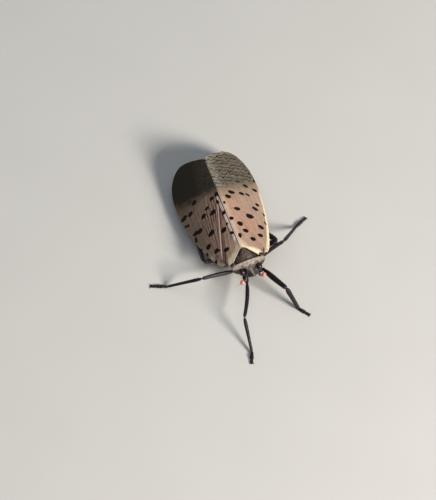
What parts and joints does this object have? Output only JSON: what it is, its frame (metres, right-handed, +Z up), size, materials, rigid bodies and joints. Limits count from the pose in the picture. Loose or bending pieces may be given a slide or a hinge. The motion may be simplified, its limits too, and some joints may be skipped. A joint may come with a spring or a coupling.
{
  "type": "spotted lanternfly",
  "caption": "Life-size still model of an adult spotted lanternfly standing on its feet, spotted forewings folded like a roof.",
  "frame": {"origin": "middle of the whole model's box at floor level, under the body", "axes": "+Y from the head to the wing tips, +X to the insect's left side, +Z up"},
  "size_m": [0.0268, 0.0346, 0.0069],
  "materials": {
    "forewing": "pinkish tan leathery wing with dark round spots, grey netted tip",
    "hindwing": "thin red membrane with dark spots, a white band and a dark tip",
    "face": "dark brown face with a pale grey crown",
    "eye": "glossy dark compound eye",
    "antenna": "orange red granular bulb with a fine dark bristle",
    "pronotum": "pale pinkish grey shield with a matt bloom",
    "mesonotum": "dark taupe shield with nearly black edges",
    "underside": "black to dark brown body wall with pale joints",
    "abdomen": "yellow with broad black bands",
    "leg": "black with a purple gloss"
  },
  "bodies": {
    "root": {"head": "face", "eye_l": "eye", "eye_r": "eye", "antenna_l": "antenna", "antenna_r": "antenna", "rostrum": "underside", "prothorax": "pronotum", "mesonotum": "mesonotum", "mesothorax": "underside", "metathorax": "underside", "abdomen": "abdomen", "tegmen_l": "forewing", "tegmen_r": "forewing", "hindwing_l": "hindwing", "hindwing_r": "hindwing", "coxa_front_l": "leg", "femur_front_l": "leg", "tibia_front_l": "leg", "tarsus_front_l": "leg", "coxa_front_r": "leg", "femur_front_r": "leg", "tibia_front_r": "leg", "tarsus_front_r": "leg", "coxa_mid_l": "leg", "femur_mid_l": "leg", "tibia_mid_l": "leg", "tarsus_mid_l": "leg", "coxa_mid_r": "leg", "femur_mid_r": "leg", "tibia_mid_r": "leg", "tarsus_mid_r": "leg", "coxa_hind_l": "leg", "femur_hind_l": "leg", "tibia_hind_l": "leg", "tarsus_hind_l": "leg", "coxa_hind_r": "leg", "femur_hind_r": "leg", "tibia_hind_r": "leg", "tarsus_hind_r": "leg"}
  },
  "joints": []
}
